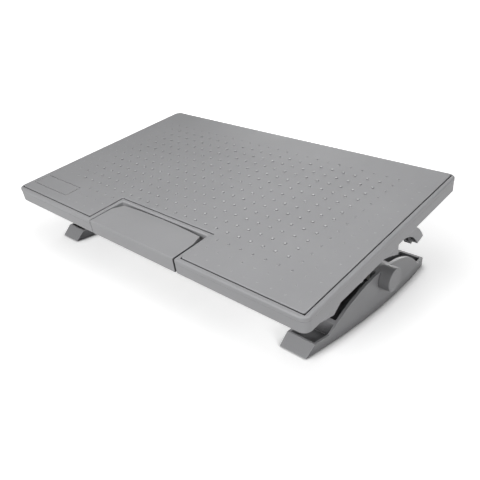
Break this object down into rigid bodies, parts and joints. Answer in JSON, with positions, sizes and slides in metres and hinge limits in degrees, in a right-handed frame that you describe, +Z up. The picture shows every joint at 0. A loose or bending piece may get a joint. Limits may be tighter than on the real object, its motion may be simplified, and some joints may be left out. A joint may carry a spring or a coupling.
{
  "type": "tilting under-desk footrest",
  "caption": "Under-desk footrest: a grey platform with a bumped tread that tilts between trough-shaped feet, with a rocking release pedal in its front edge.",
  "frame": {"origin": "on the floor, under the middle of the bounding box at rest", "axes": "+Z up, +X to the right of the person who sits at the desk, +Y away from that person; the pedal is at the -Y edge"},
  "size_m": [0.56, 0.3559, 0.1532],
  "materials": {
    "platform_plastic": "mid grey moulded plastic, very fine even texture, low sheen",
    "tread_plastic": "mid grey moulded plastic with rows of small raised bumps, fine texture",
    "pedal_plastic": "mid grey moulded plastic, very fine even texture, low sheen",
    "foot_plastic": "mid grey moulded plastic, fine texture, low sheen",
    "cap_plastic": "mid grey moulded plastic, smooth satin",
    "guard_plastic": "mid grey moulded plastic, very fine even texture, low sheen",
    "bracket_plastic": "mid grey glass-filled plastic, matte",
    "bush_plastic": "off-white nylon, satin",
    "tube_steel": "grey powder coat on steel tube",
    "turned_steel": "zinc-plated turned steel",
    "spring_steel": "dark oiled spring steel",
    "link_steel": "zinc-plated steel",
    "pad_rubber": "black rubber, matte"
  },
  "bodies": {
    "base": {"foot_right": "foot_plastic", "foot_left": "foot_plastic", "pivot_tube": "tube_steel", "pivot_caps": "cap_plastic", "sole_pad_right_front": "pad_rubber", "sole_pad_right_rear": "pad_rubber", "sole_pad_left_front": "pad_rubber", "sole_pad_left_rear": "pad_rubber", "lock_drum": "turned_steel"},
    "platform": {"platform_frame": "platform_plastic", "tread_panel": "tread_plastic", "side_guard_right": "guard_plastic", "side_guard_left": "guard_plastic", "pivot_arm_right": "bracket_plastic", "pivot_arm_left": "bracket_plastic", "pivot_bushes": "bush_plastic", "lock_housing": "bracket_plastic", "lock_bands": "spring_steel", "pedal_hinge_rod": "turned_steel"},
    "pedal": {"pedal": "pedal_plastic", "pedal_link_pin": "turned_steel"},
    "release_link": {"release_link": "link_steel"},
    "release_collar": {"release_collar": "link_steel", "collar_link_pin": "turned_steel"}
  },
  "joints": [
    {"name": "platform_tilt", "type": "hinge", "parent": "base", "child": "platform", "pos_m": [0, 0.02788, 0.048], "axis": [1, 0, 0], "range_deg": [-9.6, 19]},
    {"name": "pedal_press", "type": "hinge", "parent": "platform", "child": "pedal", "pos_m": [0, -0.14305, 0.08359], "axis": [1, 0, 0], "range_deg": [0, 7], "stiffness_Nm_per_rad": 1.5, "springref_deg": -11.46},
    {"name": "link_swing", "type": "hinge", "parent": "pedal", "child": "release_link", "pos_m": [0, -0.13938, 0.0619], "axis": [1, 0, 0], "range_deg": [-7, 0]},
    {"name": "release_turn", "type": "hinge", "parent": "platform", "child": "release_collar", "pos_m": [0, 0.02788, 0.048], "axis": [1, 0, 0], "range_deg": [0, 7]}
  ],
  "couplings": [
    {"joint": "link_swing", "follows": "pedal_press", "ratio": -1},
    {"joint": "release_turn", "follows": "pedal_press", "ratio": 1}
  ]
}
